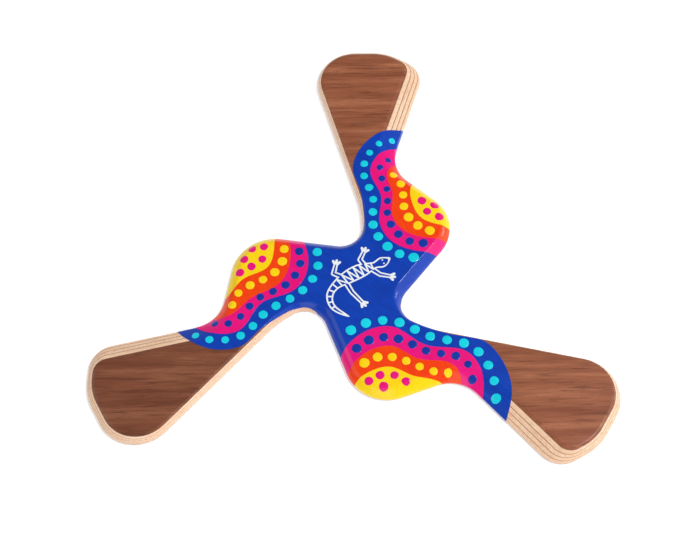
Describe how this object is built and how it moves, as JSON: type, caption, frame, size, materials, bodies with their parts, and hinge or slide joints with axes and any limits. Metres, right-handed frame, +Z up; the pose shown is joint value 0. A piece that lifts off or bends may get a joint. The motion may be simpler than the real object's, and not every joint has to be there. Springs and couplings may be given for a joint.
{
  "type": "boomerang",
  "caption": "Flat-bottomed throwing boomerang of plywood with three equal arms, bevelled on its upper side and painted with bands, dots and a lizard; it flies a circle back to the thrower.",
  "frame": {"origin": "on the flat underside, at the centre of the three-fold turn, where the three arms' axes cross", "axes": "+Z up out of the painted face; +Y along the first arm; the other two arms lie 120 and 240 degrees anticlockwise from it, seen from above"},
  "size_m": [0.2575, 0.2359, 0.0067],
  "materials": {
    "veneer": "satin varnish",
    "core_ply": "satin varnish",
    "glue": "matte",
    "blue_paint": "gloss",
    "cyan_paint": "gloss",
    "magenta_paint": "gloss",
    "orange_paint": "gloss",
    "yellow_paint": "gloss",
    "white_paint": "gloss"
  },
  "bodies": {
    "root": {"back_veneer": "veneer", "blue_ground_coat": "blue_paint", "core_ply_1": "core_ply", "core_ply_2": "core_ply", "core_ply_3": "core_ply", "core_ply_4": "core_ply", "core_ply_5": "core_ply", "cyan_dots_arm_1": "cyan_paint", "cyan_dots_arm_2": "cyan_paint", "cyan_dots_arm_3": "cyan_paint", "dark_blue_dots_arm_1": "blue_paint", "dark_blue_dots_arm_2": "blue_paint", "dark_blue_dots_arm_3": "blue_paint", "face_veneer": "veneer", "glue_line_1": "glue", "glue_line_2": "glue", "glue_line_3": "glue", "glue_line_4": "glue", "glue_line_5": "glue", "glue_line_6": "glue", "magenta_band_arm_1": "magenta_paint", "magenta_band_arm_2": "magenta_paint", "magenta_band_arm_3": "magenta_paint", "magenta_dots_arm_1": "magenta_paint", "magenta_dots_arm_2": "magenta_paint", "magenta_dots_arm_3": "magenta_paint", "orange_band_arm_1": "orange_paint", "orange_band_arm_2": "orange_paint", "orange_band_arm_3": "orange_paint", "white_lizard_drawing": "white_paint", "yellow_band_arm_1": "yellow_paint", "yellow_band_arm_2": "yellow_paint", "yellow_band_arm_3": "yellow_paint", "yellow_dots_arm_1": "yellow_paint", "yellow_dots_arm_2": "yellow_paint", "yellow_dots_arm_3": "yellow_paint"}
  },
  "joints": []
}
